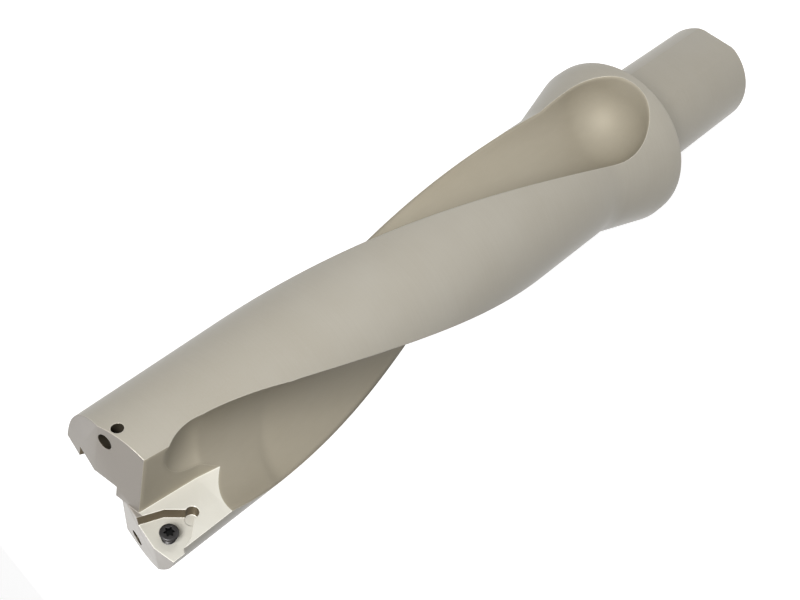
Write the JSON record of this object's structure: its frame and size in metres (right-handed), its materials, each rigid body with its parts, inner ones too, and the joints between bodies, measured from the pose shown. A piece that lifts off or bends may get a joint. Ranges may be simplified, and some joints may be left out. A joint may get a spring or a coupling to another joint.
{
  "type": "indexable drill",
  "caption": "Steel drill with a round shank, a coned collar, helical flutes and screw-clamped insert seats at the tip; makes large holes in metal on a machine tool.",
  "frame": {"origin": "middle of the end face of the shank, which the drill stands on", "axes": "+Z along the drill's axis, from the shank to the tip; the plane Y = 0 holds the rake faces of both insert seats; the outer insert's seat lies towards -X and faces -Y"},
  "size_m": [0.064, 0.064, 0.3127],
  "materials": {
    "plated_steel": "satin nickel plating over hardened steel",
    "black_screw": "black oxide"
  },
  "bodies": {
    "root": {"drill_body": "plated_steel", "outer_insert_screw": "black_screw", "inner_insert_screw": "black_screw"}
  },
  "joints": []
}
